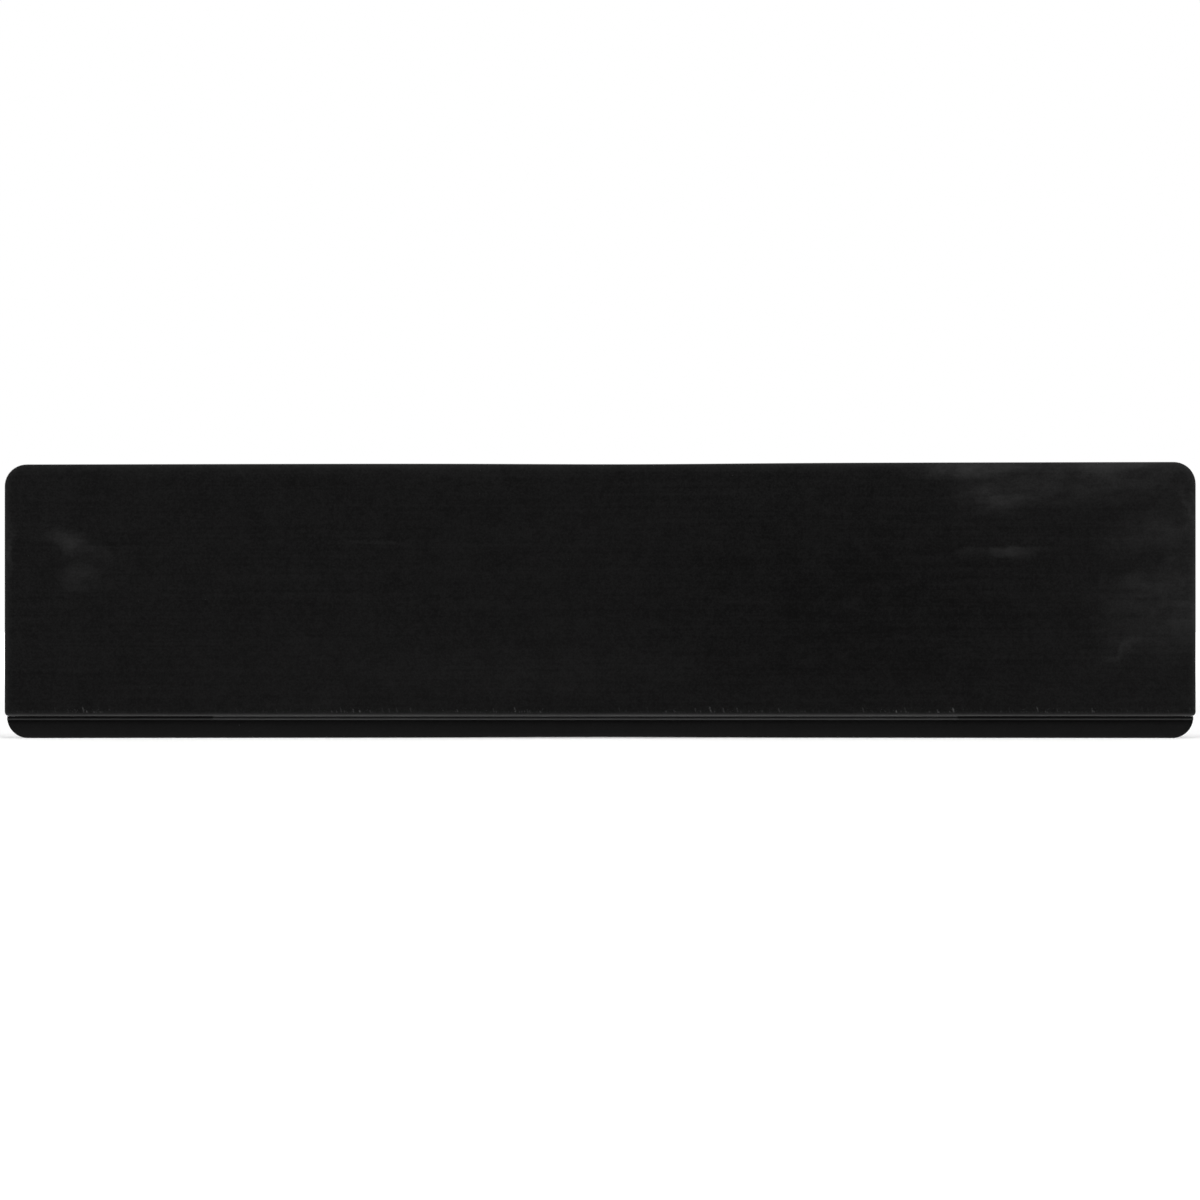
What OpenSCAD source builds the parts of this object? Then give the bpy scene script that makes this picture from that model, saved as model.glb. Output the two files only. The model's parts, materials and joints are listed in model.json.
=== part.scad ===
// Kick plate for the foot of a door.
// A stiff extruded face plate ends below in a rolled socket. The round bead of a lower lip turns
// in that socket, so the lip swings when it drags over a floor or a threshold.
// Two plugs in the ends of the socket keep the lip from sliding out, and five strips of foam tape
// on the back hold the plate on the door.
// X runs along the width, the face looks along -Y, and +Z is up. The origin is the middle of the
// middle tape's rear face, which is where the plate meets the door.

/* [Face plate] */
// Width of the face plate
plate_w = 650; // [400:10:1100]
// Height of the whole plate, from the foot of the lip to the top edge
overall_h = 150; // [120:5:300]
// Thickness of the sheet
plate_t = 3; // [2.4:0.1:4]
// Radius of the two top corners
top_corner_r = 12; // [6:0.5:20]
// Radius of the two bottom corners of the face
bottom_corner_r = 2.5; // [2:0.1:4]
// Rounding along the front edges of the face
edge_ease = 0.8; // [0.3:0.1:1]

/* [Socket] */
// Wall of the socket
socket_wall = 0.8; // [0.6:0.05:1.2]
// Half of the socket's open angle, from straight down
mouth_half_angle = 57; // [52:1:60]
// Radius of the round tips at the mouth, more than half the wall so that they grip the bead
tip_r = 0.48; // [0.42:0.02:0.6]
// How far each tip stands into the bore
tip_grip = 0.03; // [0.01:0.01:0.03]
// Room between the back of the socket and the door
socket_back_gap = 0.24; // [0.1:0.02:0.6]

/* [Lower lip] */
// Diameter of the bead that turns in the socket
bead_d = 3; // [2.6:0.1:4]
// Radial clearance of the bead in the socket
bead_clearance = 0.08; // [0.04:0.01:0.1]
// Thickness of the neck between the bead and the shoulder
neck_t = 0.8; // [0.6:0.05:0.85]
// Gap between the socket and the shoulder ribs
mouth_gap = 1; // [0.7:0.05:2]
// Diameter of the two shoulder ribs
rib_d = 1.2; // [0.8:0.1:1.4]
// Distance of each shoulder rib's middle from the middle of the neck
rib_offset = 0.45; // [0.35:0.05:0.5]
// Height of the lip below its shoulder ribs
lip_drop = 9.8; // [6:0.2:30]
// Thickness of the lip at its shoulder
lip_t = 1.5; // [1.2:0.1:1.6]
// Radius of the rounded foot
foot_r = 0.45; // [0.3:0.05:0.55]
// How much shorter than the face the lip is, at each end
lip_inset = 1.15; // [0.5:0.05:3]
// Radius of the lip's two bottom corners
lip_corner_r = 11.4; // [5:0.2:15]

/* [End plugs] */
// Length of each plug
plug_l = 4; // [2:0.5:10]
// Radial clearance of a plug pressed into the socket
plug_clearance = 0.01; // [0.005:0.005:0.02]
// Play between the bead and each plug
bead_end_play = 0.3; // [0.2:0.05:1]

/* [Foam tape] */
// Width of each strip of tape
tape_w = 19; // [12:1:25]
// Distance from the tape to the plate's edges and to the socket
tape_margin = 5; // [4:0.5:12]
// Gap between one strip and the next
tape_gap = 0.5; // [0.3:0.1:3]

/* [Hidden] */
$fn = 96;

// Socket, as radii about the hinge axis
bead_r = bead_d / 2;
bore_r = bead_r + bead_clearance;
socket_r = bore_r + socket_wall;
tip_circle_r = bore_r + tip_r - tip_grip;

// Depths: the tape stands the plate off by what the socket needs
depth = 2 * socket_r + socket_back_gap;
tape_t = depth - plate_t;
front_y = -depth;
back_y = -tape_t;
axis_y = front_y + socket_r;

// Heights above the foot of the lip
rib_h = lip_drop + rib_d / 2;
socket_foot_h = lip_drop + rib_d + mouth_gap;
axis_h = socket_foot_h + tip_r + tip_circle_r * cos(mouth_half_angle);
// The heel leaves the socket at 45 degrees and runs up to the back of the sheet
heel_top_h = axis_h + axis_y - back_y + socket_r * sqrt(2);
tape_top_h = overall_h - tape_margin - tape_w / 2;
tape_bottom_h = heel_top_h + tape_margin + tape_w / 2;
origin_h = (tape_top_h + tape_bottom_h) / 2;

// The same places in the part's own frame
foot_z = -origin_h;
top_z = overall_h - origin_h;
socket_foot_z = socket_foot_h - origin_h;
axis_z = axis_h - origin_h;
rib_z = rib_h - origin_h;
heel_top_z = heel_top_h - origin_h;
tape_top_z = tape_top_h - origin_h;
tape_bottom_z = tape_bottom_h - origin_h;

// Lip
lip_w = plate_w - 2 * lip_inset;
lip_back_y = axis_y + lip_t / 2;
lip_front_y = axis_y - lip_t / 2;
// Radius of the lip's front, an arc that leaves the shoulder upright and meets the round foot
lip_front_r = (pow(rib_h - foot_r, 2) / (lip_t - 2 * foot_r) + lip_t) / 2;

// Ends of the socket, where the neck is cut low to pass under the plugs
plug_end_x = plate_w / 2 - bottom_corner_r;
bead_l = 2 * (plug_end_x - plug_l - bead_end_play);
neck_end_z = axis_z - bore_r - bead_clearance;

// Foam tape
tape_l = plate_w - 2 * tape_margin;
side_tape_x = (tape_l - tape_w) / 2;
side_tape_l = tape_top_z - tape_bottom_z - tape_w - 2 * tape_gap;
middle_tape_l = tape_l - 2 * (tape_w + tape_gap);

overlap = 0.1;

// Sweeps a cross-section, drawn with depth to the right and height up, along the width.
module along_width(length) {
    rotate([90, 0, 90])
        linear_extrude(length, center = true)
            children();
}

// Gives a front view a thickness, from its front face back.
module from_front(y, thickness) {
    translate([0, y + thickness, 0])
        rotate([90, 0, 0])
            linear_extrude(thickness)
                children();
}

// Front view with its own radius for the top and the bottom corners.
module rounded_front(w, bottom, top, bottom_r, top_r) {
    translate([-w / 2, bottom + bottom_r])
        square([w, top - bottom - bottom_r - top_r]);
    translate([-w / 2 + bottom_r, bottom])
        square([w - 2 * bottom_r, bottom_r]);
    translate([-w / 2 + top_r, top - top_r])
        square([w - 2 * top_r, top_r]);
    for (side = [-1, 1]) {
        translate([side * (w / 2 - bottom_r), bottom + bottom_r])
            circle(bottom_r);
        translate([side * (w / 2 - top_r), top - top_r])
            circle(top_r);
    }
}

// One ring of the eased edge, for a corner of radius r.
module eased_corner(x, z, r) {
    translate([x, front_y + edge_ease, z])
        rotate([90, 0, 0])
            rotate_extrude()
                translate([r - edge_ease, 0])
                    circle(edge_ease);
}

// Outline of the face with its front edges eased, deep enough to hold the socket.
module eased_outline() {
    inner_bottom = socket_foot_z + edge_ease;
    inner_top = top_z - edge_ease;
    edge_y = front_y + edge_ease;
    from_front(edge_y, depth)
        rounded_front(plate_w, socket_foot_z, top_z, bottom_corner_r, top_corner_r);
    from_front(front_y, edge_ease + overlap)
        rounded_front(plate_w - 2 * edge_ease, inner_bottom, inner_top,
            bottom_corner_r - edge_ease, top_corner_r - edge_ease);
    for (side = [-1, 1]) {
        translate([side * (plate_w / 2 - edge_ease), edge_y, socket_foot_z + bottom_corner_r])
            cylinder(r = edge_ease, h = top_z - socket_foot_z - bottom_corner_r - top_corner_r);
        eased_corner(side * (plate_w / 2 - bottom_corner_r), socket_foot_z + bottom_corner_r,
            bottom_corner_r);
        eased_corner(side * (plate_w / 2 - top_corner_r), top_z - top_corner_r, top_corner_r);
    }
    translate([0, edge_y, inner_top])
        rotate([0, 90, 0])
            cylinder(r = edge_ease, h = plate_w - 2 * top_corner_r, center = true);
    translate([0, edge_y, inner_bottom])
        rotate([0, 90, 0])
            cylinder(r = edge_ease, h = plate_w - 2 * bottom_corner_r, center = true);
}

// Half of the socket's wall on one side of the mouth, ending in a round tip. side is -1 for the
// front and 1 for the back.
module socket_wall_section(side) {
    tip_x = side * tip_circle_r * sin(mouth_half_angle);
    tip_z = -tip_circle_r * cos(mouth_half_angle);
    mouth_reach = 2 * socket_r;
    translate([axis_y, axis_z]) {
        difference() {
            intersection() {
                circle(socket_r);
                polygon([[0, 0], [side * mouth_reach, 0], [side * mouth_reach, -mouth_reach],
                    [side * mouth_reach * sin(mouth_half_angle), -mouth_reach * cos(mouth_half_angle)]]);
            }
            circle(bore_r);
        }
        translate([tip_x, tip_z])
            circle(tip_r);
    }
}

// Cross-section of the face plate: the sheet and the heel behind it, with the socket at its foot.
module plate_section() {
    heel_y = axis_y + socket_r * cos(45);
    heel_z = axis_z + socket_r * sin(45);
    difference() {
        union() {
            polygon([[front_y, axis_z], [axis_y, axis_z], [heel_y, heel_z],
                [back_y, heel_top_z], [back_y, top_z], [front_y, top_z]]);
            intersection() {
                translate([axis_y, axis_z])
                    circle(socket_r);
                translate([axis_y - overlap, axis_z])
                    square(2 * socket_r);
            }
        }
        translate([axis_y, axis_z])
            circle(bore_r);
    }
    socket_wall_section(-1);
    socket_wall_section(1);
}

// The stiff sheet, with its rounded corners and the socket along its foot.
module face_plate() {
    color("#161616")
        intersection() {
            along_width(plate_w)
                plate_section();
            eased_outline();
        }
}

// Cross-section of the neck, from the shoulder ribs up to a height.
module neck_section(neck_top_z) {
    translate([axis_y - neck_t / 2, rib_z])
        square([neck_t, neck_top_z - rib_z]);
}

// Cross-section of the lip's bead and neck, which hang in the socket.
module bead_section() {
    translate([axis_y, axis_z])
        circle(bead_r);
    neck_section(axis_z);
}

// Cross-section of the lip below the socket: two shoulder ribs, then a blade that thins to its foot.
module blade_section() {
    for (side = [-1, 1])
        translate([axis_y + side * rib_offset, rib_z])
            circle(rib_d / 2);
    translate([axis_y - rib_offset, rib_z - rib_d / 2])
        square([2 * rib_offset, rib_d]);
    intersection() {
        translate([lip_front_y, foot_z + foot_r])
            square([lip_t, rib_h - foot_r]);
        translate([lip_front_y + lip_front_r, rib_z])
            circle(lip_front_r, $fn = 720);
    }
    translate([lip_back_y - foot_r, foot_z + foot_r])
        circle(foot_r);
}

// The swinging lip. Its bead stops short of its ends, where the plugs are, and its neck goes on.
module lower_lip() {
    color("#1a1a1a") {
        along_width(bead_l)
            bead_section();
        intersection() {
            along_width(lip_w) {
                blade_section();
                neck_section(neck_end_z);
            }
            from_front(front_y - overlap, depth + 2 * overlap)
                rounded_front(lip_w, foot_z, axis_z + lip_corner_r, lip_corner_r, bead_r);
        }
    }
}

// A short rod that fills one end of the socket. side is -1 for the left end and 1 for the right.
module end_plug(side) {
    color("#101010")
        translate([side * (plug_end_x - plug_l / 2), axis_y, axis_z])
            rotate([0, 90, 0])
                cylinder(r = bore_r - plug_clearance, h = plug_l, center = true);
}

// A strip of foam tape between the plate and the door, centred at x and z.
module tape(x, z, w, h) {
    color("#2b2b2d")
        translate([x - w / 2, back_y, z - h / 2])
            cube([w, tape_t, h]);
}

module end_plug_left() {
    end_plug(-1);
}

module end_plug_right() {
    end_plug(1);
}

module tape_top() {
    tape(0, tape_top_z, tape_l, tape_w);
}

module tape_middle() {
    tape(0, 0, middle_tape_l, tape_w);
}

module tape_bottom() {
    tape(0, tape_bottom_z, tape_l, tape_w);
}

module tape_left() {
    tape(-side_tape_x, (tape_top_z + tape_bottom_z) / 2, tape_w, side_tape_l);
}

module tape_right() {
    tape(side_tape_x, (tape_top_z + tape_bottom_z) / 2, tape_w, side_tape_l);
}

face_plate();
lower_lip();
end_plug_left();
end_plug_right();
tape_top();
tape_middle();
tape_bottom();
tape_left();
tape_right();
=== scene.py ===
# %% [markdown]
# # A kick plate with a swinging lip
#
# A kick plate guards the foot of a door. This one is a stiff black plastic sheet with a
# socket along its foot. A softer black lip hangs in the socket by a round bead and swings,
# and five strips of foam tape hold the plate on the door.
#
# The solids come from the packed part. This file gives them their finishes, adds the pieces
# that are soft or slightly bowed in real life, and sets up the floor, the lamps and the
# camera. Everything is in metres: +X to the right, +Y towards the door, +Z up.

# %% Load the packed part
import json

import bmesh
import bpy
import mathutils
import numpy as np
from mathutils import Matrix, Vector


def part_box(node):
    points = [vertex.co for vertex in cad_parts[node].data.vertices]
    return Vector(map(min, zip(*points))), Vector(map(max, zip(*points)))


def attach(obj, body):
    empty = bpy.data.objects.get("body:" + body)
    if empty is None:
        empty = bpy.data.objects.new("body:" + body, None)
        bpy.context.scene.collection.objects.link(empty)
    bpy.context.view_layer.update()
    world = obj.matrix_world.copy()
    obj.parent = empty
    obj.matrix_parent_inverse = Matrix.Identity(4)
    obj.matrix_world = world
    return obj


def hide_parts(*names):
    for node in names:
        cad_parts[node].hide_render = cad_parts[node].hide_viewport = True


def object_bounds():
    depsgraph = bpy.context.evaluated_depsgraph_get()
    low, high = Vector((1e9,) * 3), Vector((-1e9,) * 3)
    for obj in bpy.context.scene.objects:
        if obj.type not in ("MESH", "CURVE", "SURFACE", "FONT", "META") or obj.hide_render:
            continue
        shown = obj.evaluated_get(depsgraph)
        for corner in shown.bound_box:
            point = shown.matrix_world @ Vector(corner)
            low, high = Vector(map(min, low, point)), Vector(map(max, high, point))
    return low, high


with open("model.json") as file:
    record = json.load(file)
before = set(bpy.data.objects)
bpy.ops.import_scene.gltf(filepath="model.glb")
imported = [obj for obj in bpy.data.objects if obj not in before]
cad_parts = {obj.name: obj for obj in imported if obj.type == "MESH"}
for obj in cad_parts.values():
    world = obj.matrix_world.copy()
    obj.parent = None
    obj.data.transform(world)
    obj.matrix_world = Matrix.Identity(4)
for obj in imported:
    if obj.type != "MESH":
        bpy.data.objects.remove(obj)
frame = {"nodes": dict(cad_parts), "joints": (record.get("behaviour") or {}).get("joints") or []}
cad_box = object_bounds()
nodes = frame["nodes"]
print("nodes:", ", ".join(sorted(nodes)))
print("CAD box:", [round(v, 5) for v in cad_box[0]], [round(v, 5) for v in cad_box[1]])

# %% [markdown]
# ## Where things are
#
# The sizes that the finishes need are read from the boxes of the solids and from the hinge in
# the record, so that they follow the part if it is made in another size.

# %% Sizes read from the part
MM = 0.001
plate_low, plate_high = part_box("face_plate")
hinge_y, hinge_z = frame["joints"][0]["pos_m"][1:]
half_width = plate_high.x
front_y = plate_low.y
top_z, seam_z = plate_high.z, plate_low.z
foot_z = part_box("lower_lip")[0].z
TOP_CORNER = 12 * MM
RIB_DROP = 3.2 * MM  # from the hinge down to the middle of the lip's ribs
rib_z = hinge_z - RIB_DROP
print(f"face {2 * half_width:.4f} x {top_z - seam_z:.4f} m")
print(f"seam at z {seam_z:.5f}, foot at z {foot_z:.5f}")
print(f"hinge at y {hinge_y:.5f}, z {hinge_z:.5f}, the lip's rib at z {rib_z:.5f}")

# %% [markdown]
# ## A short way to write shader nodes
#
# Each finish below is a sum of a few masks. The nodes could be placed and joined one by one,
# but that takes four lines for each sum and hides what it is for. So a small helper makes a
# node and joins it up in one call. A socket or a plain number may be given for any input.


# %% A helper for shader nodes
class Shader:
    """Makes nodes in one tree. An input is a socket to join, or a plain value to set."""

    def __init__(self, tree):
        self.tree = tree

    def feed(self, socket, value):
        if isinstance(value, bpy.types.NodeSocket):
            self.tree.links.new(value, socket)
        elif value is not None:
            socket.default_value = value

    def node(self, kind, **settings):
        made = self.tree.nodes.new(kind)
        for name, value in settings.items():
            setattr(made, name, value)
        return made

    def math(self, operation, a, b=None, c=None, clamp=False):
        made = self.node("ShaderNodeMath", operation=operation, use_clamp=clamp)
        for socket, value in zip(made.inputs, (a, b, c)):
            self.feed(socket, value)
        return made.outputs[0]

    def total(self, *values):
        result = values[0]
        for value in values[1:]:
            result = self.math("ADD", result, value)
        return result

    def product(self, *values):
        result = values[0]
        for value in values[1:]:
            result = self.math("MULTIPLY", result, value)
        return result

    def ramp(self, value, low, high, to_low=0.0, to_high=1.0):
        """Goes smoothly from to_low to to_high as value goes from low to high."""
        made = self.node("ShaderNodeMapRange", interpolation_type="SMOOTHSTEP")
        for socket, given in zip(made.inputs, (value, low, high, to_low, to_high)):
            self.feed(socket, given)
        return made.outputs[0]

    def noise(self, vector, scale, detail=2.0, roughness=0.5):
        made = self.node("ShaderNodeTexNoise")
        self.feed(made.inputs["Vector"], vector)
        self.feed(made.inputs["Scale"], scale)
        made.inputs["Detail"].default_value = detail
        made.inputs["Roughness"].default_value = roughness
        return made.outputs["Fac"]

    def line_noise(self, along, scale, detail=0.0):
        """Noise that changes along one direction only."""
        made = self.node("ShaderNodeTexNoise", noise_dimensions="1D")
        self.feed(made.inputs["W"], along)
        self.feed(made.inputs["Scale"], scale)
        made.inputs["Detail"].default_value = detail
        return made.outputs["Fac"]

    def place(self):
        return self.node("ShaderNodeTexCoord").outputs["Object"]

    def split(self, vector):
        made = self.node("ShaderNodeSeparateXYZ")
        self.feed(made.inputs[0], vector)
        return made.outputs

    def moved(self, vector, location=(0, 0, 0), scale=(1, 1, 1), rotation=(0, 0, 0)):
        made = self.node("ShaderNodeMapping")
        self.feed(made.inputs["Vector"], vector)
        made.inputs["Location"].default_value = location
        made.inputs["Rotation"].default_value = rotation
        made.inputs["Scale"].default_value = scale
        return made.outputs[0]

    def group(self, tree, **values):
        made = self.node("ShaderNodeGroup", node_tree=tree)
        for name, value in values.items():
            self.feed(made.inputs[name.replace("_", " ")], value)
        return made.outputs


calls = [name for name in vars(Shader) if not name.startswith("_")]
print("one call each for:", ", ".join(calls))

# %% [markdown]
# ## Groups, empty materials and objects
#
# An effect that several plastics share, such as grain or dust, could be built again in each
# material. A node group is built once, has named inputs and outputs like any other node, and
# is placed in each material with its own values. So the helpers here start an empty group, an
# empty material and a new object, and the groups themselves come next.


# %% Helpers for groups, materials and objects
def new_group(name, inputs, outputs):
    """An empty node group with named inputs (and their usual values) and named outputs."""
    tree = bpy.data.node_groups.new(name, "ShaderNodeTree")
    for label, value in inputs.items():
        socket = tree.interface.new_socket(label, in_out="INPUT", socket_type="NodeSocketFloat")
        socket.default_value = value
    for label in outputs:
        tree.interface.new_socket(label, in_out="OUTPUT", socket_type="NodeSocketFloat")
    given = tree.nodes.new("NodeGroupInput").outputs
    wanted = tree.nodes.new("NodeGroupOutput").inputs
    return tree, Shader(tree), given, wanted


def emptied(owner):
    """Switches a material's or a world's nodes on, clears them, and gives a Shader for them."""
    owner.use_nodes = True
    owner.node_tree.nodes.clear()
    return Shader(owner.node_tree)


def grey(sh, tone):
    """A colour with the same tone in all three channels."""
    made = sh.node("ShaderNodeCombineColor")
    for channel in made.inputs[:3]:
        sh.feed(channel, tone)
    return made.outputs[0]


def add_object(name, data):
    """A new object that holds data, linked to the scene."""
    made = bpy.data.objects.new(name, data)
    bpy.context.scene.collection.objects.link(made)
    return made


print("helpers:", ", ".join(f.__name__ for f in (new_group, emptied, grey, add_object)))

# %% [markdown]
# ## Grain of an extruded plastic
#
# Satin plastic is never one even black. Its skin has a fine grain about as wide as a pencil
# line, a broad cloudy mottle, and faint lines along its length from the die that it was
# pressed through. All three are noises: the die lines are a noise squeezed along X until it
# turns into streaks. Every plastic here uses this group with its own sizes.

# %% Extruded grain
GRAIN_SHARE, CLOUD_SHARE, MOTTLE_SHARE, DIE_LINE_SHARE = 0.58, 0.12, 0.15, 0.15
DRAWN_OUT = (0.012, 0.2, 1.0)  # squeezes a noise into streaks along X
grain_group, sh, given, wanted = new_group(
    "extruded_grain",
    {"Grain Size": 0.9 * MM, "Mottle Size": 14 * MM, "Die Line Size": 1.4 * MM},
    ("Tone", "Height"),
)
place = sh.place()
grain = sh.noise(place, sh.math("DIVIDE", 1.0, given["Grain Size"]), 2.0, 0.6)
mottle = sh.noise(place, sh.math("DIVIDE", 1.0, given["Mottle Size"]), 3.0, 0.55)
streaks = sh.moved(place, scale=DRAWN_OUT)
die_lines = sh.noise(streaks, sh.math("DIVIDE", 1.0, given["Die Line Size"]), 1.0)
cloudy = sh.noise(place, sh.math("DIVIDE", 0.3, given["Grain Size"]), 1.0)
tone = sh.total(sh.product(grain, GRAIN_SHARE), sh.product(cloudy, CLOUD_SHARE),
                sh.product(mottle, MOTTLE_SHARE), sh.product(die_lines, DIE_LINE_SHARE))
sh.feed(wanted["Tone"], tone)
sh.feed(wanted["Height"], sh.math("ADD", grain, sh.product(die_lines, 0.3)))
print("group:", grain_group.name)

# %% [markdown]
# ## A painted lighter rim
#
# The face is painted slightly lighter near its outline, whose edge is rounded a little: a painted
# glow of the white room around it and of the light that the rounded edge catches. The mask
# measures how far a point is from a rounded rectangle. It folds the face onto one corner, takes
# the distance beyond that corner's centre and subtracts the corner's radius, which gives a
# distance that is negative inside.

# %% Distance from a rounded outline
rim_group, sh, given, wanted = new_group(
    "rounded_rim",
    {"Half Width": 0.3, "Top": 0.07, "Bottom": -0.07, "Corner Radius": 0.012, "Reach": 0.004},
    ("Rim",),
)
x, _, z = sh.split(sh.place())
middle = sh.product(sh.math("ADD", given["Top"], given["Bottom"]), 0.5)
half_high = sh.product(sh.math("SUBTRACT", given["Top"], given["Bottom"]), 0.5)
radius = given["Corner Radius"]
across = sh.math("SUBTRACT", sh.math("ABSOLUTE", x),
                 sh.math("SUBTRACT", given["Half Width"], radius))
up = sh.math("SUBTRACT", sh.math("ABSOLUTE", sh.math("SUBTRACT", z, middle)),
             sh.math("SUBTRACT", half_high, radius))
corner = sh.math("SQRT", sh.math("ADD", sh.math("POWER", sh.math("MAXIMUM", across, 0.0), 2.0),
                                 sh.math("POWER", sh.math("MAXIMUM", up, 0.0), 2.0)))
inside = sh.math("MINIMUM", sh.math("MAXIMUM", across, up), 0.0)
distance = sh.math("SUBTRACT", sh.math("ADD", corner, inside), radius)
sh.feed(wanted["Rim"], sh.math("POWER", sh.math(
    "ADD", 1.0, sh.math("DIVIDE", distance, given["Reach"]), clamp=True), 2.0))
print("group:", rim_group.name)

# %% [markdown]
# ## A stretch along the plate
#
# Two of the marks below keep to a stretch of the plate's length, so this small group gives a
# mask that is 1 between two places on X and fades to 0 over a short distance beyond them.

# %% A stretch along X
stretch_group, sh, given, wanted = new_group(
    "stretch_along_x", {"From": -0.1, "To": 0.1, "Soft": 0.001}, ("Share",))
x, _, _ = sh.split(sh.place())
after = sh.ramp(sh.math("DIVIDE", sh.math("SUBTRACT", x, given["From"]), given["Soft"]), 0.0, 1.0)
before = sh.ramp(sh.math("DIVIDE", sh.math("SUBTRACT", given["To"], x), given["Soft"]), 0.0, 1.0)
sh.feed(wanted["Share"], sh.product(after, before))
print("group:", stretch_group.name)

# %% [markdown]
# ## Painted sheen
#
# The face is painted lighter in soft patches, a painted sheen of light on the satin skin: long
# patches under the top edge, a broad one down the right end and two small ones on the left. Each
# patch is a round gradient, stretched and turned with Mapping nodes, and a slow noise moves its
# outline and breaks it up. Places and sizes are parts of the half width, so 1 is the right end.
# One patch has a negative strength: the face is painted darker there.

# %% Painted sheen patches
SHEEN_PATCHES = (
    # across, up from the face's middle, half length, half height, turn, strength
    (0.615, 0.201, 0.14, 0.021, 0.03, 1.40),
    (0.81, 0.208, 0.24, 0.024, 0.02, 1.00),
    (0.70, 0.184, 0.14, 0.020, 0.02, 0.40),
    (0.668, 0.155, 0.090, 0.036, 0.03, 0.95),
    (0.80, 0.177, 0.22, 0.055, 0.13, 0.62),
    (0.93, 0.190, 0.13, 0.060, 0.10, 0.38),
    (0.99, 0.135, 0.022, 0.060, 0.00, 0.75),
    (0.678, 0.065, 0.09, 0.014, -0.03, 0.85),
    (0.93, 0.100, 0.12, 0.050, 0.30, 0.62),
    (0.89, 0.014, 0.07, 0.020, 0.00, 0.45),
    (0.94, -0.040, 0.15, 0.110, 0.10, 0.70),
    (0.873, -0.105, 0.08, 0.010, 0.46, 0.52),
    (0.98, 0.025, 0.05, 0.120, 0.00, 0.42),
    (-0.880, 0.077, 0.080, 0.034, -0.32, 0.95),
    (-0.872, 0.024, 0.050, 0.034, 0.00, 0.55),
    (-0.998, 0.068, 0.018, 0.060, 0.00, 0.85),
    (-0.37, 0.081, 0.10, 0.005, 0.00, 0.25),
    (-0.25, -0.140, 0.60, 0.090, 0.02, 0.14),
    (0.42, -0.020, 0.48, 0.260, 0.00, -0.20),
    (-0.35, 0.212, 1.40, 0.034, 0.00, 0.32),
)
# a noise's scale per metre, and how far it moves the outlines in parts of the half width
ALONG_SCALE, ALONG_SHIFT = 60.0, 0.12
UP_SCALE, UP_SHIFT = 110.0, 0.04
CLOUD_SCALE = 150.0
face_middle = (top_z + seam_z) / 2
painted_sheen_group, sh, given, wanted = new_group(
    "handling_haze", {"Half Width": half_width, "Middle Height": face_middle}, ("Haze",))
place = sh.place()
x, _, z = sh.split(place)
longer = sh.moved(place, scale=(0.4, 1, 1))
shift_along = sh.math("MULTIPLY_ADD", sh.noise(place, ALONG_SCALE, 4.0, 0.6),
                      ALONG_SHIFT, -ALONG_SHIFT / 2)
shift_up = sh.math("MULTIPLY_ADD", sh.noise(longer, UP_SCALE, 4.0, 0.6), UP_SHIFT, -UP_SHIFT / 2)
height = sh.math("SUBTRACT", z, given["Middle Height"])
joined = sh.node("ShaderNodeCombineXYZ")
sh.feed(joined.inputs[0], sh.total(sh.math("DIVIDE", x, given["Half Width"]), shift_along))
sh.feed(joined.inputs[1], sh.total(sh.math("DIVIDE", height, given["Half Width"]), shift_up))
patches = []
for across, up, long, high, turn, strength in SHEEN_PATCHES:
    centred = sh.moved(joined.outputs[0], location=(-across, -up, 0))
    turned = sh.moved(centred, rotation=(0, 0, -turn))
    shrunk = sh.moved(turned, scale=(1 / long, 1 / high, 1))
    ball = sh.node("ShaderNodeTexGradient", gradient_type="SPHERICAL")
    sh.feed(ball.inputs[0], shrunk)
    patches.append(sh.product(sh.ramp(ball.outputs["Fac"], 0.0, 1.0), strength))
cloud = sh.ramp(sh.noise(longer, CLOUD_SCALE, 4.0, 0.65), 0.3, 0.7, 0.35, 1.15)
sh.feed(wanted["Haze"], sh.product(sh.total(*patches), cloud))
print("group:", painted_sheen_group.name, "with", len(SHEEN_PATCHES), "patches")

# %% [markdown]
# ## Stress marks and a painted glow above the socket
#
# The lip is pushed into the socket from below, and that bends the socket's front wall. Black
# plastic whitens where it is bent, so there is a row of short upright whiskers, in bunches where
# the pushing was hardest. The group also gives a painted glow: the face is painted lighter
# towards the seam, a painted highlight where the face rounds into the socket's front and catches
# light. The whiskers could be drawn one by one, but there are dozens. So each whisker is the
# middle of one cell of a Voronoi pattern that runs along X only, and stands on the flat just
# above the socket's round front. The cell's random colour gives its height and its strength. A
# coarse row and a fine row together look less regular than one.

# %% Stress marks and a painted seam glow
BASE_SHARE = 0.22  # how strong the whiskers are between the bunches
LEAN = 0.25  # how far a whisker leans along X for each step up
BUNCHES = (  # from and to along X, in parts of the half width, and how strong they are there
    (-0.90, -0.82, 1.3),
    (-0.46, -0.37, 0.9),
    (-0.29, -0.08, 0.7),
    (0.10, 0.36, 0.5),
    (0.43, 0.61, 1.1),
    (0.68, 0.85, 0.8),
)
stress_group, sh, given, wanted = new_group(
    "stress_marks",
    {"Seam Height": seam_z, "Round Height": 1.6 * MM, "Half Width": half_width,
     "Blush Reach": 6 * MM, "Whisker Height": 4.3 * MM, "Whisker Width": 0.40 * MM,
     "Whisker Spacing": 3.8 * MM},
    ("Blush", "Whiskers"),
)
place = sh.place()
x, _, z = sh.split(place)
above = sh.math("SUBTRACT", z, given["Seam Height"])
nearness = sh.math("SUBTRACT", 1.0, sh.math("DIVIDE", above, given["Blush Reach"]), clamp=True)
# painted highlight: the face is painted lighter towards the seam
sh.feed(wanted["Blush"], sh.math("POWER", nearness, 2.5))
flat = sh.math("SUBTRACT", above, given["Round Height"])
leaning = sh.total(x, sh.product(flat, LEAN))


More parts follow.
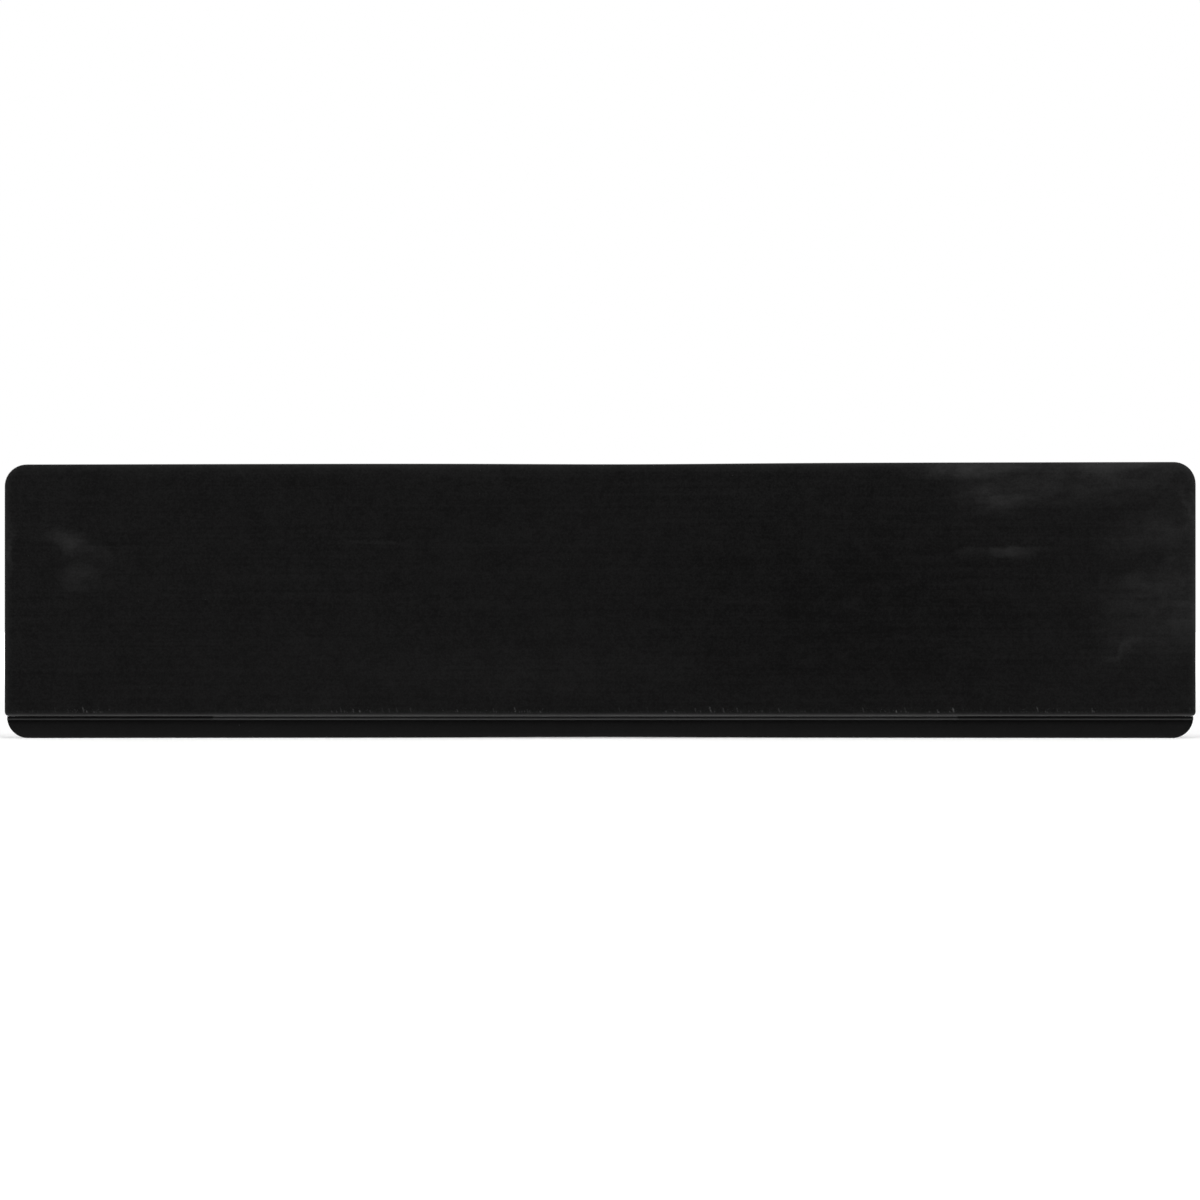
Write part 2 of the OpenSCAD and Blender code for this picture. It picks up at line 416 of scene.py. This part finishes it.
def whisker_row(spacing_share, height_share, width_share):
    """A row of whiskers: a cell's middle is a whisker, its colour gives height and strength.

    The three shares are parts of the group's spacing, height and width.
    """
    spacing = sh.product(given["Whisker Spacing"], spacing_share)
    cells = sh.node("ShaderNodeTexVoronoi", voronoi_dimensions="1D")
    sh.feed(cells.inputs["W"], leaning)
    sh.feed(cells.inputs["Scale"], sh.math("DIVIDE", 1.0, spacing))
    off = sh.math("DIVIDE", sh.product(cells.outputs["Distance"], spacing),
                  sh.product(given["Whisker Width"], width_share))
    chance = sh.node("ShaderNodeSeparateColor")
    sh.feed(chance.inputs[0], cells.outputs["Color"])
    height = sh.product(chance.outputs[0], given["Whisker Height"], height_share)
    line = sh.ramp(off, 1.5, 0.4)
    upright = sh.ramp(sh.math("SUBTRACT", height, flat), 0.0, 1.2 * MM)
    return sh.product(line, upright, chance.outputs[1])


print("group:", stress_group.name, "has inputs", ", ".join(socket.name for socket in given[:-1]))

# %% Rows, bunches and crumbs
FINE_ROW = (0.37, 0.5, 0.8)
FINE_STRENGTH, CRUMB_STRENGTH = 0.6, 0.35
coarse = whisker_row(1.0, 1.0, 1.0)
fine = sh.product(whisker_row(*FINE_ROW), FINE_STRENGTH)
rows = sh.math("MAXIMUM", coarse, fine)
shares = [BASE_SHARE]
for start, end, share in BUNCHES:
    bunch = sh.group(stretch_group, From=sh.product(given["Half Width"], start),
                     To=sh.product(given["Half Width"], end), Soft=7 * MM)["Share"]
    shares.append(sh.product(bunch, share))
broken = sh.ramp(sh.noise(place, 1100.0, 1.0), 0.30, 0.60)
crumbs = sh.product(sh.ramp(sh.noise(place, 900.0, 1.0, 0.7), 0.63, 0.75),
                    sh.ramp(flat, 4 * MM, 1 * MM))
marks = sh.math("MAXIMUM", sh.product(rows, broken), sh.product(crumbs, CRUMB_STRENGTH))
marks = sh.product(marks, sh.ramp(flat, 0.1 * MM, 0.9 * MM))
sh.feed(wanted["Whiskers"], sh.product(marks, sh.total(*shares)))
print("group:", stress_group.name, "with", len(BUNCHES), "bunches")

# %% [markdown]
# ## Dust
#
# A few pale specks lie on any black plastic. They are the smallest cells of a Voronoi pattern:
# only the middle of a cell counts, and only in a few cells that chance picks.

# %% Dust specks
dust_group, sh, given, wanted = new_group(
    "dust_specks", {"Spacing": 6 * MM, "Speck Size": 0.35 * MM, "Share": 0.12}, ("Specks",))
cells = sh.node("ShaderNodeTexVoronoi")
sh.feed(cells.inputs["Vector"], sh.place())
sh.feed(cells.inputs["Scale"], sh.math("DIVIDE", 1.0, given["Spacing"]))
metres = sh.product(cells.outputs["Distance"], given["Spacing"])
dot = sh.math("SUBTRACT", 1.0, sh.math("DIVIDE", metres, given["Speck Size"]), clamp=True)
chance = sh.node("ShaderNodeSeparateColor")
sh.feed(chance.inputs[0], cells.outputs["Color"])
picked = sh.math("LESS_THAN", chance.outputs[0], given["Share"])
sh.feed(wanted["Specks"], sh.product(dot, picked))
print("group:", dust_group.name)

# %% [markdown]
# ## The groove
#
# Between the plate and the lip is a narrow groove. Along its middle the walls of the groove are
# painted paler than at the ends: a painted reflection of a soft box in the groove's rounded
# walls. The mask is one stretch along X, between two heights.

# %% Painted reflection in the groove
# the stretch where the painted reflection lies
REFLECTION_FROM, REFLECTION_TO = -0.653, 0.603  # in parts of the half width
groove_reflection_group, sh, given, wanted = new_group(
    "groove_bloom",
    {"From": REFLECTION_FROM * half_width, "To": REFLECTION_TO * half_width, "Low": foot_z,
     "High": top_z, "Soft": 0.1 * MM},
    ("Bloom",),
)
_, _, z = sh.split(sh.place())
share = sh.group(stretch_group, From=given["From"], To=given["To"], Soft=1.5 * MM)["Share"]
over = sh.ramp(sh.math("DIVIDE", sh.math("SUBTRACT", z, given["Low"]), given["Soft"]), 0.0, 1.0)
under = sh.ramp(sh.math("DIVIDE", sh.math("SUBTRACT", given["High"], z), given["Soft"]), 0.0, 1.0)
sh.feed(wanted["Bloom"], sh.product(share, over, under))
print("group:", groove_reflection_group.name)

# %% [markdown]
# ## The plastics
#
# Each plastic is one Principled shader. What changes over the surface is added up as a
# lightness and goes to Base Color, and the roughness and the grain's bump follow the same
# masks. Both black plastics are matt with narrow smooth bands: the socket's round front and
# the lip's rib slide through the die last and come out polished. Those bands are the coat, so
# that they mirror the pale floor while the rest stays matt. What is the same everywhere, such
# as the specular level and the coat's roughness, is set on the shader itself.


# %% Building a plastic
def plastic(name, build, specular, coat_roughness=0.2, coat_ior=1.75):
    """A grey plastic. build(sh) gives lightness, roughness, bump height, bump depth and coat."""
    material = bpy.data.materials.new(name)
    sh = emptied(material)
    lightness, roughness, height, depth, coat = build(sh)
    bump = sh.node("ShaderNodeBump")
    bump.inputs["Distance"].default_value = depth
    bump.inputs["Strength"].default_value = 1.0
    sh.feed(bump.inputs["Height"], height)
    skin = sh.node("ShaderNodeBsdfPrincipled")
    sh.feed(skin.inputs["Base Color"], grey(sh, lightness))
    sh.feed(skin.inputs["Roughness"], roughness)
    sh.feed(skin.inputs["Normal"], bump.outputs[0])
    skin.inputs["Specular IOR Level"].default_value = specular
    sh.feed(skin.inputs["Coat Weight"], coat)
    skin.inputs["Coat Roughness"].default_value = coat_roughness
    skin.inputs["Coat IOR"].default_value = coat_ior
    out = sh.node("ShaderNodeOutputMaterial")
    sh.feed(out.inputs["Surface"], skin.outputs[0])
    print("material:", name)
    return material


def marked(sh, base, masks, light):
    """The base lightness, plus each mask times its own amount of light."""
    return sh.total(base, *[sh.product(mask, light[name]) for name, mask in masks.items()])


print("groups to draw on:", ", ".join(tree.name for tree in bpy.data.node_groups))

# %% [markdown]
# ### The face
#
# The face is a hard black sheet with a satin skin. It could be one dark grey with a little noise,
# but then every part of it would look alike. Here the grain runs between two values close to
# black, and each mark adds a small amount of light of its own. The dust and the whiskers are the
# plastic's own marks. The lighter rim, the soft patches, the glow along the seam, the paler
# groove and the socket's lowest edge are painted light: a painted glow, painted sheen, painted
# highlights and a painted reflection. The sheen, the glow, the whiskers and the lowest edge's
# highlight are kept in front of the hinge, so the back of the sheet stays clean. The polish of
# the socket's round front grows towards the seam, and its lowest edge is painted lighter as a
# painted highlight.

# %% Face plastic
FACE_BLACK = (0.0006, 0.0064)  # the darkest and the lightest of the grain
# the rim, the soft patches, the seam, the groove and the lowest edge get painted light (painted
# glow, sheen, highlights and a painted reflection); whiskers and specks are the plastic's own
# marks
FACE_LIGHT = {"rim": 0.011, "haze": 0.012, "blush": 0.005, "whiskers": 0.065,
              "specks": 0.03, "bloom": 0.05, "rubbed_edge": 0.020}
POLISH_START = 1.2 * MM  # above the hinge
POLISH_POWER = 3.0


def face_finish(sh):
    grain = sh.group(grain_group)
    x, y, z = sh.split(sh.place())
    in_front = sh.ramp(y, hinge_y - 0.2 * MM, hinge_y - 0.6 * MM)
    uneven = sh.ramp(sh.line_noise(x, 9.0, 2.0), 0.35, 0.65, 0.8, 1.0)
    lowest = sh.ramp(z, seam_z + 0.75 * MM, seam_z + 0.3 * MM)
    stress = sh.group(stress_group)
    masks = {
        # painted glow: the face is painted lighter near its outline
        "rim": sh.group(rim_group, Half_Width=half_width, Top=top_z, Bottom=foot_z,
                        Corner_Radius=TOP_CORNER, Reach=5 * MM)["Rim"],
        # painted sheen: soft patches of the face painted lighter, and a little rougher
        "haze": sh.product(sh.group(painted_sheen_group)["Haze"], in_front),
        # painted highlight: the face is painted lighter towards the seam
        "blush": sh.product(stress["Blush"], in_front),
        "whiskers": sh.product(stress["Whiskers"], in_front),
        "specks": sh.group(dust_group)["Specks"],
        # painted reflection: the socket's front painted paler along the middle stretch of the
        # groove
        "bloom": sh.group(groove_reflection_group, High=seam_z + 0.16 * MM)["Bloom"],
        # painted highlight: the socket's lowest edge painted lighter, unevenly along X
        "rubbed_edge": sh.product(lowest, in_front, uneven),
    }
    black = sh.ramp(grain["Tone"], 0.33, 0.67, *FACE_BLACK)
    roughness = sh.total(sh.ramp(grain["Tone"], 0.2, 0.8, 0.46, 0.54),
                         sh.product(masks["haze"], 0.05))
    polish_top = hinge_z + POLISH_START
    down = sh.math("DIVIDE", sh.math("SUBTRACT", polish_top, z), polish_top - seam_z, clamp=True)
    coat = sh.product(sh.math("POWER", down, POLISH_POWER), in_front, uneven)
    return marked(sh, black, masks, FACE_LIGHT), roughness, grain["Height"], 0.012 * MM, coat


face_plastic = plastic("face_plastic_finish", face_finish, 0.085)

# %% [markdown]
# ### The lip
#
# The lip is a softer vinyl. Its blade is painted blackest in the crevice under the ribs, a
# painted shade under the ribs and the socket, and painted paler towards the foot, a painted
# shading that lightens downwards. So its painted light is ramps over the height, measured from
# the ribs and from the foot. A single ramp from top to foot would miss the short dark line of the
# crevice. The ribs carry a polish; the rib's top and the foot's edge get painted highlights, the
# neck is painted a little lighter in the groove's shade, and along the middle stretch of the
# groove a painted reflection makes the neck palest just under the socket.

# %% Lip vinyl
LIP_BLACK = (0.0017, 0.0041)
# all but the specks are painted light: painted shade in the crevice, painted light towards the
# foot, painted highlights on the foot's edge and the rib's top, a lighter neck and a painted
# reflection along the groove
LIP_LIGHT = {"out_of_crevice": 0.0044, "rubbed": 0.0055, "foot_edge": 0.012, "specks": 0.04,
             "neck": 0.004, "rib_top": 0.018, "on_neck": 0.040, "on_rib": 0.016,
             "in_groove": 0.006}
FOOT_LIGHT_POWER = 1.8
RIB_COAT = 0.42


def lip_finish(sh):
    grain = sh.group(grain_group, Grain_Size=0.8 * MM, Mottle_Size=9 * MM)
    _, _, z = sh.split(sh.place())
    crevice_z = rib_z - 0.45 * MM
    below = sh.math("SUBTRACT", crevice_z, z)
    down = sh.math("DIVIDE", below, crevice_z - foot_z, clamp=True)
    masks = {
        # painted shade: the blade painted darker in the crevice under the ribs, lighter below it
        "out_of_crevice": sh.ramp(below, 0.0, 3.2 * MM),
        # painted shading: the blade painted lighter towards the foot
        "rubbed": sh.math("POWER", down, FOOT_LIGHT_POWER),
        # painted highlight: the foot's rounded edge painted lighter
        "foot_edge": sh.ramp(z, foot_z + 1.1 * MM, foot_z + 0.1 * MM),
        "specks": sh.group(dust_group, Share=0.2)["Specks"],
        # painted light: the neck, in the shade of the groove, is painted a little lighter
        "neck": sh.ramp(z, rib_z + 0.5 * MM, rib_z + 0.7 * MM),
        # painted highlight: the top of the rib painted lighter
        "rib_top": sh.product(sh.ramp(z, rib_z - 0.05 * MM, rib_z + 0.15 * MM),
                              sh.ramp(z, rib_z + 0.9 * MM, rib_z + 0.55 * MM)),
        # painted reflection: the neck, the rib and the lip in the groove painted paler along the
        # middle stretch
        "on_neck": sh.group(groove_reflection_group, Low=seam_z - 0.55 * MM)["Bloom"],
        "on_rib": sh.group(groove_reflection_group, Low=crevice_z, High=rib_z + 0.6 * MM)["Bloom"],
        "in_groove": sh.group(groove_reflection_group, Low=rib_z)["Bloom"],
    }
    black = sh.ramp(grain["Tone"], 0.33, 0.67, *LIP_BLACK)
    roughness = sh.ramp(grain["Tone"], 0.34, 0.66, 0.45, 0.55)
    rib = sh.product(sh.ramp(z, rib_z + 0.45 * MM, rib_z + 0.15 * MM),
                     sh.ramp(z, rib_z - 0.55 * MM, rib_z - 0.40 * MM))
    coat = sh.product(rib, RIB_COAT)
    return marked(sh, black, masks, LIP_LIGHT), roughness, grain["Height"], 0.01 * MM, coat


lip_vinyl = plastic("lip_vinyl_finish", lip_finish, 0.02)

# %% [markdown]
# ### The plugs
#
# The two end plugs are short pieces cut from a plain rod and pressed into the socket. They
# have the same grain at a third of the size, a higher gloss, and dust in the cut.

# %% Plug plastic
PLUG_BLACK = (0.005, 0.015)
PLUG_LIGHT = {"specks": 0.03}


def plug_finish(sh):
    grain = sh.group(grain_group, Grain_Size=0.3 * MM, Mottle_Size=3 * MM)
    masks = {"specks": sh.group(dust_group, Spacing=3 * MM, Share=0.2)["Specks"]}
    black = sh.ramp(grain["Tone"], 0.2, 0.8, *PLUG_BLACK)
    roughness = sh.ramp(grain["Tone"], 0.2, 0.8, 0.45, 0.6)
    return marked(sh, black, masks, PLUG_LIGHT), roughness, grain["Height"], 0.02 * MM, 0.0


plug_plastic = plastic("plug_plastic_finish", plug_finish, 0.3)

# %% [markdown]
# ### The tape's foam and film
#
# The tape is dark foam between two films of adhesive. The cut sides show open cells, painted
# darker in the pores as painted shade, and the back shows the film, which has wetted the foam
# unevenly and left duller islands in it. Both could be two materials, but one that changes with
# the depth needs no seam: close to the back it is film, and anywhere else it is foam.

# %% Foam tape
FOAM_GREY = (0.014, 0.030)
# the pores are painted darker as painted shade; the wetted islands and specks are the tape's own
# colour
FOAM_LIGHT = {"pore": -0.008, "wetted": 0.006, "specks": 0.05}
CELL_SIZE = 0.55 * MM


def tape_finish(sh):
    grain = sh.group(grain_group, Grain_Size=0.5 * MM, Mottle_Size=5 * MM,
                     Die_Line_Size=2.5 * MM)
    specks = sh.group(dust_group, Spacing=4 * MM, Speck_Size=0.3 * MM, Share=0.35)["Specks"]
    place = sh.place()
    _, y, _ = sh.split(place)
    film = sh.ramp(y, -0.12 * MM, -0.03 * MM)
    cells = sh.node("ShaderNodeTexVoronoi")
    sh.feed(cells.inputs["Vector"], place)
    cells.inputs["Scale"].default_value = 1 / CELL_SIZE
    # the pores: a dent in the bump, and painted shade in the colour
    pore = sh.product(sh.ramp(cells.outputs["Distance"], 0.15, 0.5),
                      sh.math("SUBTRACT", 1.0, film))
    wetted = sh.ramp(sh.noise(sh.moved(place, scale=(0.5, 1, 1)), 330.0, 4.0, 0.65), 0.34, 0.66)
    wrinkles = sh.noise(sh.moved(place, scale=(0.25, 1, 1)), 420.0, 3.0)
    masks = {"pore": pore, "wetted": sh.product(film, wetted), "specks": sh.product(film, specks)}
    base = sh.ramp(grain["Tone"], 0.3, 0.7, *FOAM_GREY)
    roughness = sh.math("SUBTRACT", sh.ramp(grain["Tone"], 0.3, 0.7, 0.75, 0.9),
                        sh.product(film, 0.3))
    height = sh.total(sh.product(pore, -0.8), sh.product(grain["Height"], 0.3),
                      sh.product(wrinkles, 1.2))
    coat = sh.product(film, sh.ramp(wetted, 0.0, 1.0, 0.15, 0.5))
    return marked(sh, base, masks, FOAM_LIGHT), roughness, height, 0.1 * MM, coat


foam_tape = plastic("foam_tape_finish", tape_finish, 0.3, coat_roughness=0.3, coat_ior=1.5)

# %% [markdown]
# ### Dressing the solids
#
# A solid keeps its own mesh and only gets a material in its slots. The two plugs are shown as
# they are. The plate, the lip and the strips of tape are shown by pieces made further down,
# and their solids are dressed as well, in case one of them is looked at alone.

# %% Dress the solids
FINISHES = {"face_plate": face_plastic, "lower_lip": lip_vinyl, "end_plug_left": plug_plastic,
            "end_plug_right": plug_plastic}
for name, node in nodes.items():
    finish = FINISHES.get(name, foam_tape)
    for slot in node.material_slots:
        slot.material = finish
    print(f"{name}: {finish.name}")

# %% [markdown]
# ## A sheet that isn't quite straight
#
# The solids are straight, which is right for a drawing. A real plastic sheet of this length
# never is: its top edge climbs a little towards the right and dips near the middle, and the
# soft lip's foot is drawn up a little in the middle. The shifts are under a millimetre and lie
# in the plane of the sheet. Nothing moves at the hinge, so the lip still swings freely.
#
# The visible plate and lip are copies of the solids' meshes. A solid's mesh is loose
# triangles, so the copy is merged first. Then it is cut into bays along X, because a flat face
# has no points inside it to move, and numpy moves all its points at once.

# %% The shapes of the bow
def top_rise(x):
    """How far the top edge stands above straight, with s = x / half width, in mm:

    0.12 + 0.71 s - 0.58 exp(-((s - 0.05) / 0.24)^2).
    """
    s = x / half_width
    return (0.12 + 0.71 * s - 0.58 * np.exp(-(((s - 0.05) / 0.24) ** 2))) * MM


def foot_rise(x):
    """How far the lip's foot is drawn up, in mm: 0.29 (1 - s^2) + 0.29 exp(-(s / 0.2)^2)."""
    s = x / half_width
    return (0.29 * (1 - s**2) + 0.29 * np.exp(-((s / 0.2) ** 2))) * MM


def share_above(z, start, end):
    """0 at start and 1 at end, whichever of them is higher."""
    return np.clip((z - start) / (end - start), 0.0, 1.0)


stations = np.linspace(-half_width, half_width, 201)
for label, rise in (("top edge", top_rise(stations)), ("foot", foot_rise(stations))):
    print(f"the {label} stands {rise.min() / MM:.2f} to {rise.max() / MM:.2f} mm above straight")


# %% Copy, merge, cut and move
BAYS = 48
SHARP_EDGE = np.radians(28)
MERGE = 1e-7  # metres


def shade_smooth(mesh, sharp_edge):
    """Smooth shading, with edges steeper than sharp_edge kept sharp."""
    mesh.polygons.foreach_set("use_smooth", np.ones(len(mesh.polygons), dtype=bool))
    mesh.set_sharp_from_angle(angle=sharp_edge)


def bowed_copy(name, node_name, finish, rise, start, end):
    """A node's mesh, merged and cut into bays.

    Points move up by rise(x), times their share of the height between start and end.
    """
    mesh = nodes[node_name].data.copy()
    mesh.name = name
    # normals stored with the straight mesh would be wrong on the bowed one
    if "custom_normal" in mesh.attributes:
        mesh.attributes.remove(mesh.attributes["custom_normal"])
    work = bmesh.new()
    work.from_mesh(mesh)
    bmesh.ops.remove_doubles(work, verts=work.verts, dist=MERGE)
    for x in np.linspace(-half_width, half_width, BAYS + 1)[1:-1]:
        bmesh.ops.bisect_plane(work, geom=work.verts[:] + work.edges[:] + work.faces[:],
                               plane_co=(x, 0, 0), plane_no=(1, 0, 0), dist=MERGE)
    work.to_mesh(mesh)
    open_edges = sum(not edge.is_manifold for edge in work.edges)
    work.free()
    points = np.empty(3 * len(mesh.vertices))
    mesh.vertices.foreach_get("co", points)
    points = points.reshape(-1, 3)
    points[:, 2] += rise(points[:, 0]) * share_above(points[:, 2], start, end)
    mesh.vertices.foreach_set("co", points.ravel())
    shade_smooth(mesh, SHARP_EDGE)
    mesh.materials.clear()
    mesh.materials.append(finish)
    piece = add_object(name, mesh)
    even = piece.modifiers.new("even_shading", "WEIGHTED_NORMAL")
    even.keep_sharp = True
    even.weight = 50
    print(f"{name}: {len(mesh.vertices)} points, {open_edges} open edges")
    return piece


plate = bowed_copy("bowed_plate", "face_plate", face_plastic, top_rise, hinge_z + 5 * MM, top_z)
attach(plate, "plate")
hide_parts("face_plate")

lip = bowed_copy("bowed_lip", "lower_lip", lip_vinyl, foot_rise, rib_z - 0.6 * MM, foot_z)
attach(lip, "lip")
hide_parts("lower_lip")

# %% [markdown]
# ## The foam tape
#
# Double-sided foam tape is cut from a roll, so its ends are nipped round and its sides belly
# out a little where the foam is squeezed. Each strip fills the box of its solid. It is one
# closed surface made of rings: they start on the strip's middle line at the front, spread to
# the edge, go round the bellied side and come back to the middle line at the back.


# %% A strip of foam
SIDE_RINGS = 11
# how far each ring of a flat side has drawn in to the middle line, from the middle outwards
DRAWN_IN = (1.0, 0.6, 0.25, 0.06)


def foam_strip(low, high, corner=1.5 * MM, belly=0.3 * MM, arc_steps=8, side_steps=24):
    """Rings of a strip that fills the box from low to high.

    outline(a): a rectangle with round corners, with outward normal n(a).
    ring(a) = (1 - t) (outline(a) - n(a) inset) + t spine(a), at depth y, where spine(a) is the
    nearest point of the middle line. Along the side, inset = belly (2 v - 1)^2 for v from 0 to 1.
    """
    middle = (np.array(low) + np.array(high)) / 2
    half = (np.array(high) - np.array(low)) / 2
    straight = half[[0, 2]] - corner
    turn = np.linspace(0, np.pi / 2, arc_steps + 1)
    steps = np.linspace(-1, 1, side_steps + 1)[1:-1]
    parts, normals = [], []
    for quarter in range(4):
        angle = turn + quarter * np.pi / 2
        normal = np.column_stack([np.cos(angle), np.sin(angle)])
        sign = np.array([(1, 1), (-1, 1), (-1, -1), (1, -1)][quarter])
        parts.append(sign * straight + corner * normal)
        normals.append(normal)
        along = quarter % 2 == 0  # the side after this corner runs along X
        edge_normal = normal[-1]
        centre = edge_normal * (straight + corner)
        direction = np.array([-sign[0], 0]) if along else np.array([0, -sign[1]])
        reach = straight[0] if along else straight[1]
        parts.append(centre + np.outer(steps * reach, direction))
        normals.append(np.tile(edge_normal, (len(steps), 1)))
    outline, normal = np.vstack(parts), np.vstack(normals)
    slack = np.maximum(half[[0, 2]] - half[[0, 2]].min(), 0)
    spine = np.clip(outline, -slack, slack)
    front = [(t, belly, 0.0) for t in DRAWN_IN]
    side = [(0.0, belly * (2 * v - 1) ** 2, v) for v in np.linspace(0, 1, SIDE_RINGS)]
    back = [(t, belly, 1.0) for t in reversed(DRAWN_IN)]
    made = []
    for t, inset, depth in front + side + back:
        flat = (1 - t) * (outline - normal * inset) + t * spine
        y = np.full(len(flat), low[1] + depth * (high[1] - low[1]) - middle[1])
        made.append(np.column_stack([flat[:, 0], y, flat[:, 1]]) + middle)
    return np.array(made)


example = foam_strip(*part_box("tape_left")).shape
print(f"a strip has {example[0]} rings of {example[1]} points")


# %% Rings joined into a closed piece
CUT_EDGE = np.radians(40)
RING_MERGE = 2e-6  # metres


def closed_rings(name, rings, finish):
    """Joins each ring to the next with quads, and merges the points on the middle line."""
    rows, around = rings.shape[:2]
    index = np.arange(rows * around).reshape(rows, around)
    after = np.roll(index, -1, axis=1)
    quads = np.stack([index[:-1], index[1:], after[1:], after[:-1]], axis=-1).reshape(-1, 4)
    mesh = bpy.data.meshes.new(name)
    mesh.from_pydata(rings.reshape(-1, 3).tolist(), [], quads.tolist())
    work = bmesh.new()
    work.from_mesh(mesh)
    bmesh.ops.remove_doubles(work, verts=work.verts, dist=RING_MERGE)
    volume = work.calc_volume(signed=True)
    open_edges = sum(not edge.is_manifold for edge in work.edges)
    work.to_mesh(mesh)
    work.free()
    shade_smooth(mesh, CUT_EDGE)
    mesh.materials.append(finish)
    piece = add_object(name, mesh)
    print(f"{name}: {len(mesh.polygons)} faces, {volume * 1e9:.1f} mm3, {open_edges} open edges")
    return piece


for name in sorted(nodes):
    if name.startswith("tape_"):
        low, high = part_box(name)
        strip = closed_rings("foam_" + name, foam_strip(low, high), foam_tape)
        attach(strip, "plate")
        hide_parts(name)

# %% [markdown]
# ## The floor and the studio
#
# The plate stands on its lip on a plain white floor, with the white of the room behind it.
# Two large soft boxes light it from the left and the right and a third from above, and the
# room fills in the rest. Glossy black plastic shows whatever stands in front of it, so a black
# curtain hangs behind the camera, as it does in any studio for dark glossy things: without it
# the face would be grey. The curtain is seen only in reflections.
#
# The floor is matt white. It runs out into the room like a studio sweep: far from the object
# the camera sees it lifted towards white, so that it meets the room without a line. Near the
# object it is hardly lifted, and takes the object's shadow.


# %% Floor and curtain
FLOOR_REACH = 6.0
LIFT_FROM, LIFT_TO = 0.5, 2.2  # metres from the object
NEAR_SHARE = 0.1  # how much of its lift the floor has near the object
CURTAIN_REACH, CURTAIN_Y, CURTAIN_TOP = 2.2, -2.6, 2.4
SIGNS = ((-1, -1), (1, -1), (1, 1), (-1, 1))  # of a rectangle's corners, going round


def looking(sh):
    """1 for a ray that looks at something: from the camera, by a reflection or through glass."""
    ray = sh.node("ShaderNodeLightPath").outputs
    return sh.math("MAXIMUM", ray["Is Camera Ray"],
                   sh.math("MAXIMUM", ray["Is Glossy Ray"], ray["Is Transmission Ray"]))


def flat_piece(name, corners, material):
    """One flat face, which belongs to the stage and not to the part."""
    mesh = bpy.data.meshes.new(name)
    mesh.from_pydata(corners, [], [range(len(corners))])
    mesh.materials.append(material)
    made = add_object(name, mesh)
    return made


def stage_finish(name, low, high, lift):
    """A matt surface whose tone wanders from low to high.

    A ray that looks at it sees it lifted towards white, by a small share of lift near the
    object and by all of it far out.
    """
    material = bpy.data.materials.new(name)
    sh = emptied(material)
    tone = sh.ramp(sh.noise(sh.place(), 3.0, 2.0), 0.3, 0.7, low, high)
    matt = sh.node("ShaderNodeBsdfDiffuse")
    sh.feed(matt.inputs["Color"], grey(sh, tone))
    glow = sh.node("ShaderNodeEmission")
    glow.inputs["Color"].default_value = (1, 1, 1, 1)
    away = sh.node("ShaderNodeVectorMath", operation="LENGTH")
    sh.feed(away.inputs[0], sh.place())
    lifted = sh.ramp(away.outputs["Value"], LIFT_FROM, LIFT_TO, NEAR_SHARE * lift, lift)
    sh.feed(glow.inputs["Strength"], sh.product(looking(sh), lifted))
    both = sh.node("ShaderNodeAddShader")
    sh.feed(both.inputs[0], matt.outputs[0])
    sh.feed(both.inputs[1], glow.outputs[0])
    sh.feed(sh.node("ShaderNodeOutputMaterial").inputs["Surface"], both.outputs[0])
    return material


floor = flat_piece("floor", [(FLOOR_REACH * a, FLOOR_REACH * b, foot_z) for a, b in SIGNS],
                   stage_finish("floor_white", 0.93, 0.96, 1.0))
curtain = flat_piece("curtain", [(CURTAIN_REACH * a, CURTAIN_Y, foot_z if b < 0 else CURTAIN_TOP)
                                 for a, b in SIGNS],
                     stage_finish("curtain_black", 0.008, 0.012, 0.0))
curtain.visible_camera = False
print("stage:", floor.name, curtain.name)


# %% Lamps and room
ROOM_FILL = 0.35  # how much of the room's white lights the object


def softbox(name, place, size, power):
    """A rectangular lamp that faces the middle of the plate."""
    light = bpy.data.lights.new(name, "AREA")
    light.shape = "RECTANGLE"
    light.size, light.size_y = size
    light.energy = power
    lamp = add_object(name, light)
    lamp.location = place
    lamp.rotation_euler = (-mathutils.Vector(place)).to_track_quat("-Z", "Y").to_euler()
    print(f"{name}: {power} W")


softbox("left_softbox", (-1.9, -1.5, 1.1), (1.0, 1.4), 18)
softbox("right_softbox", (1.9, -1.5, 1.1), (1.0, 1.4), 18)
softbox("top_softbox", (0, -0.3, 2.2), (2.4, 1.2), 34)

world = bpy.data.worlds.new("white_room")
bpy.context.scene.world = world
sh = emptied(world)
room = sh.node("ShaderNodeBackground")
room.inputs["Color"].default_value = (1, 1, 1, 1)
sh.feed(room.inputs["Strength"], sh.ramp(looking(sh), 0.0, 1.0, ROOM_FILL, 1.0))
sh.feed(sh.node("ShaderNodeOutputWorld").inputs["Surface"], room.outputs[0])
print("room:", world.name)

# %% [markdown]
# ## The camera
#
# The camera looks straight at the front of the plate from about 1.8 m with a long lens. The
# plate fills the frame's width with a small margin. The camera stands half a millimetre above
# the middle and a fraction of a millimetre to the left, which sets the plate in the frame.

# %% Camera
LENS, SENSOR = 100.0, 36.0
MARGIN = 4.68 * MM
ASIDE, ABOVE = -0.11 * MM, 0.45 * MM
seen_width = 2 * half_width + MARGIN
middle_z = (cad_box[0].z + cad_box[1].z) / 2
camera = add_object("camera", bpy.data.cameras.new("camera"))
camera.data.lens, camera.data.sensor_width = LENS, SENSOR
camera.data.clip_start, camera.data.clip_end = 0.05, 50
camera.location = (ASIDE, front_y - seen_width * LENS / SENSOR, middle_z + ABOVE)
camera.rotation_euler = (np.pi / 2, 0, 0)
bpy.context.scene.camera = camera
bpy.context.scene.view_settings.view_transform = "Standard"
print(f"the camera stands {front_y - camera.location.y:.3f} m from the face")

# %% [markdown]
# ## The bow past the solids
#
# The bow stands a little past the straight solids.
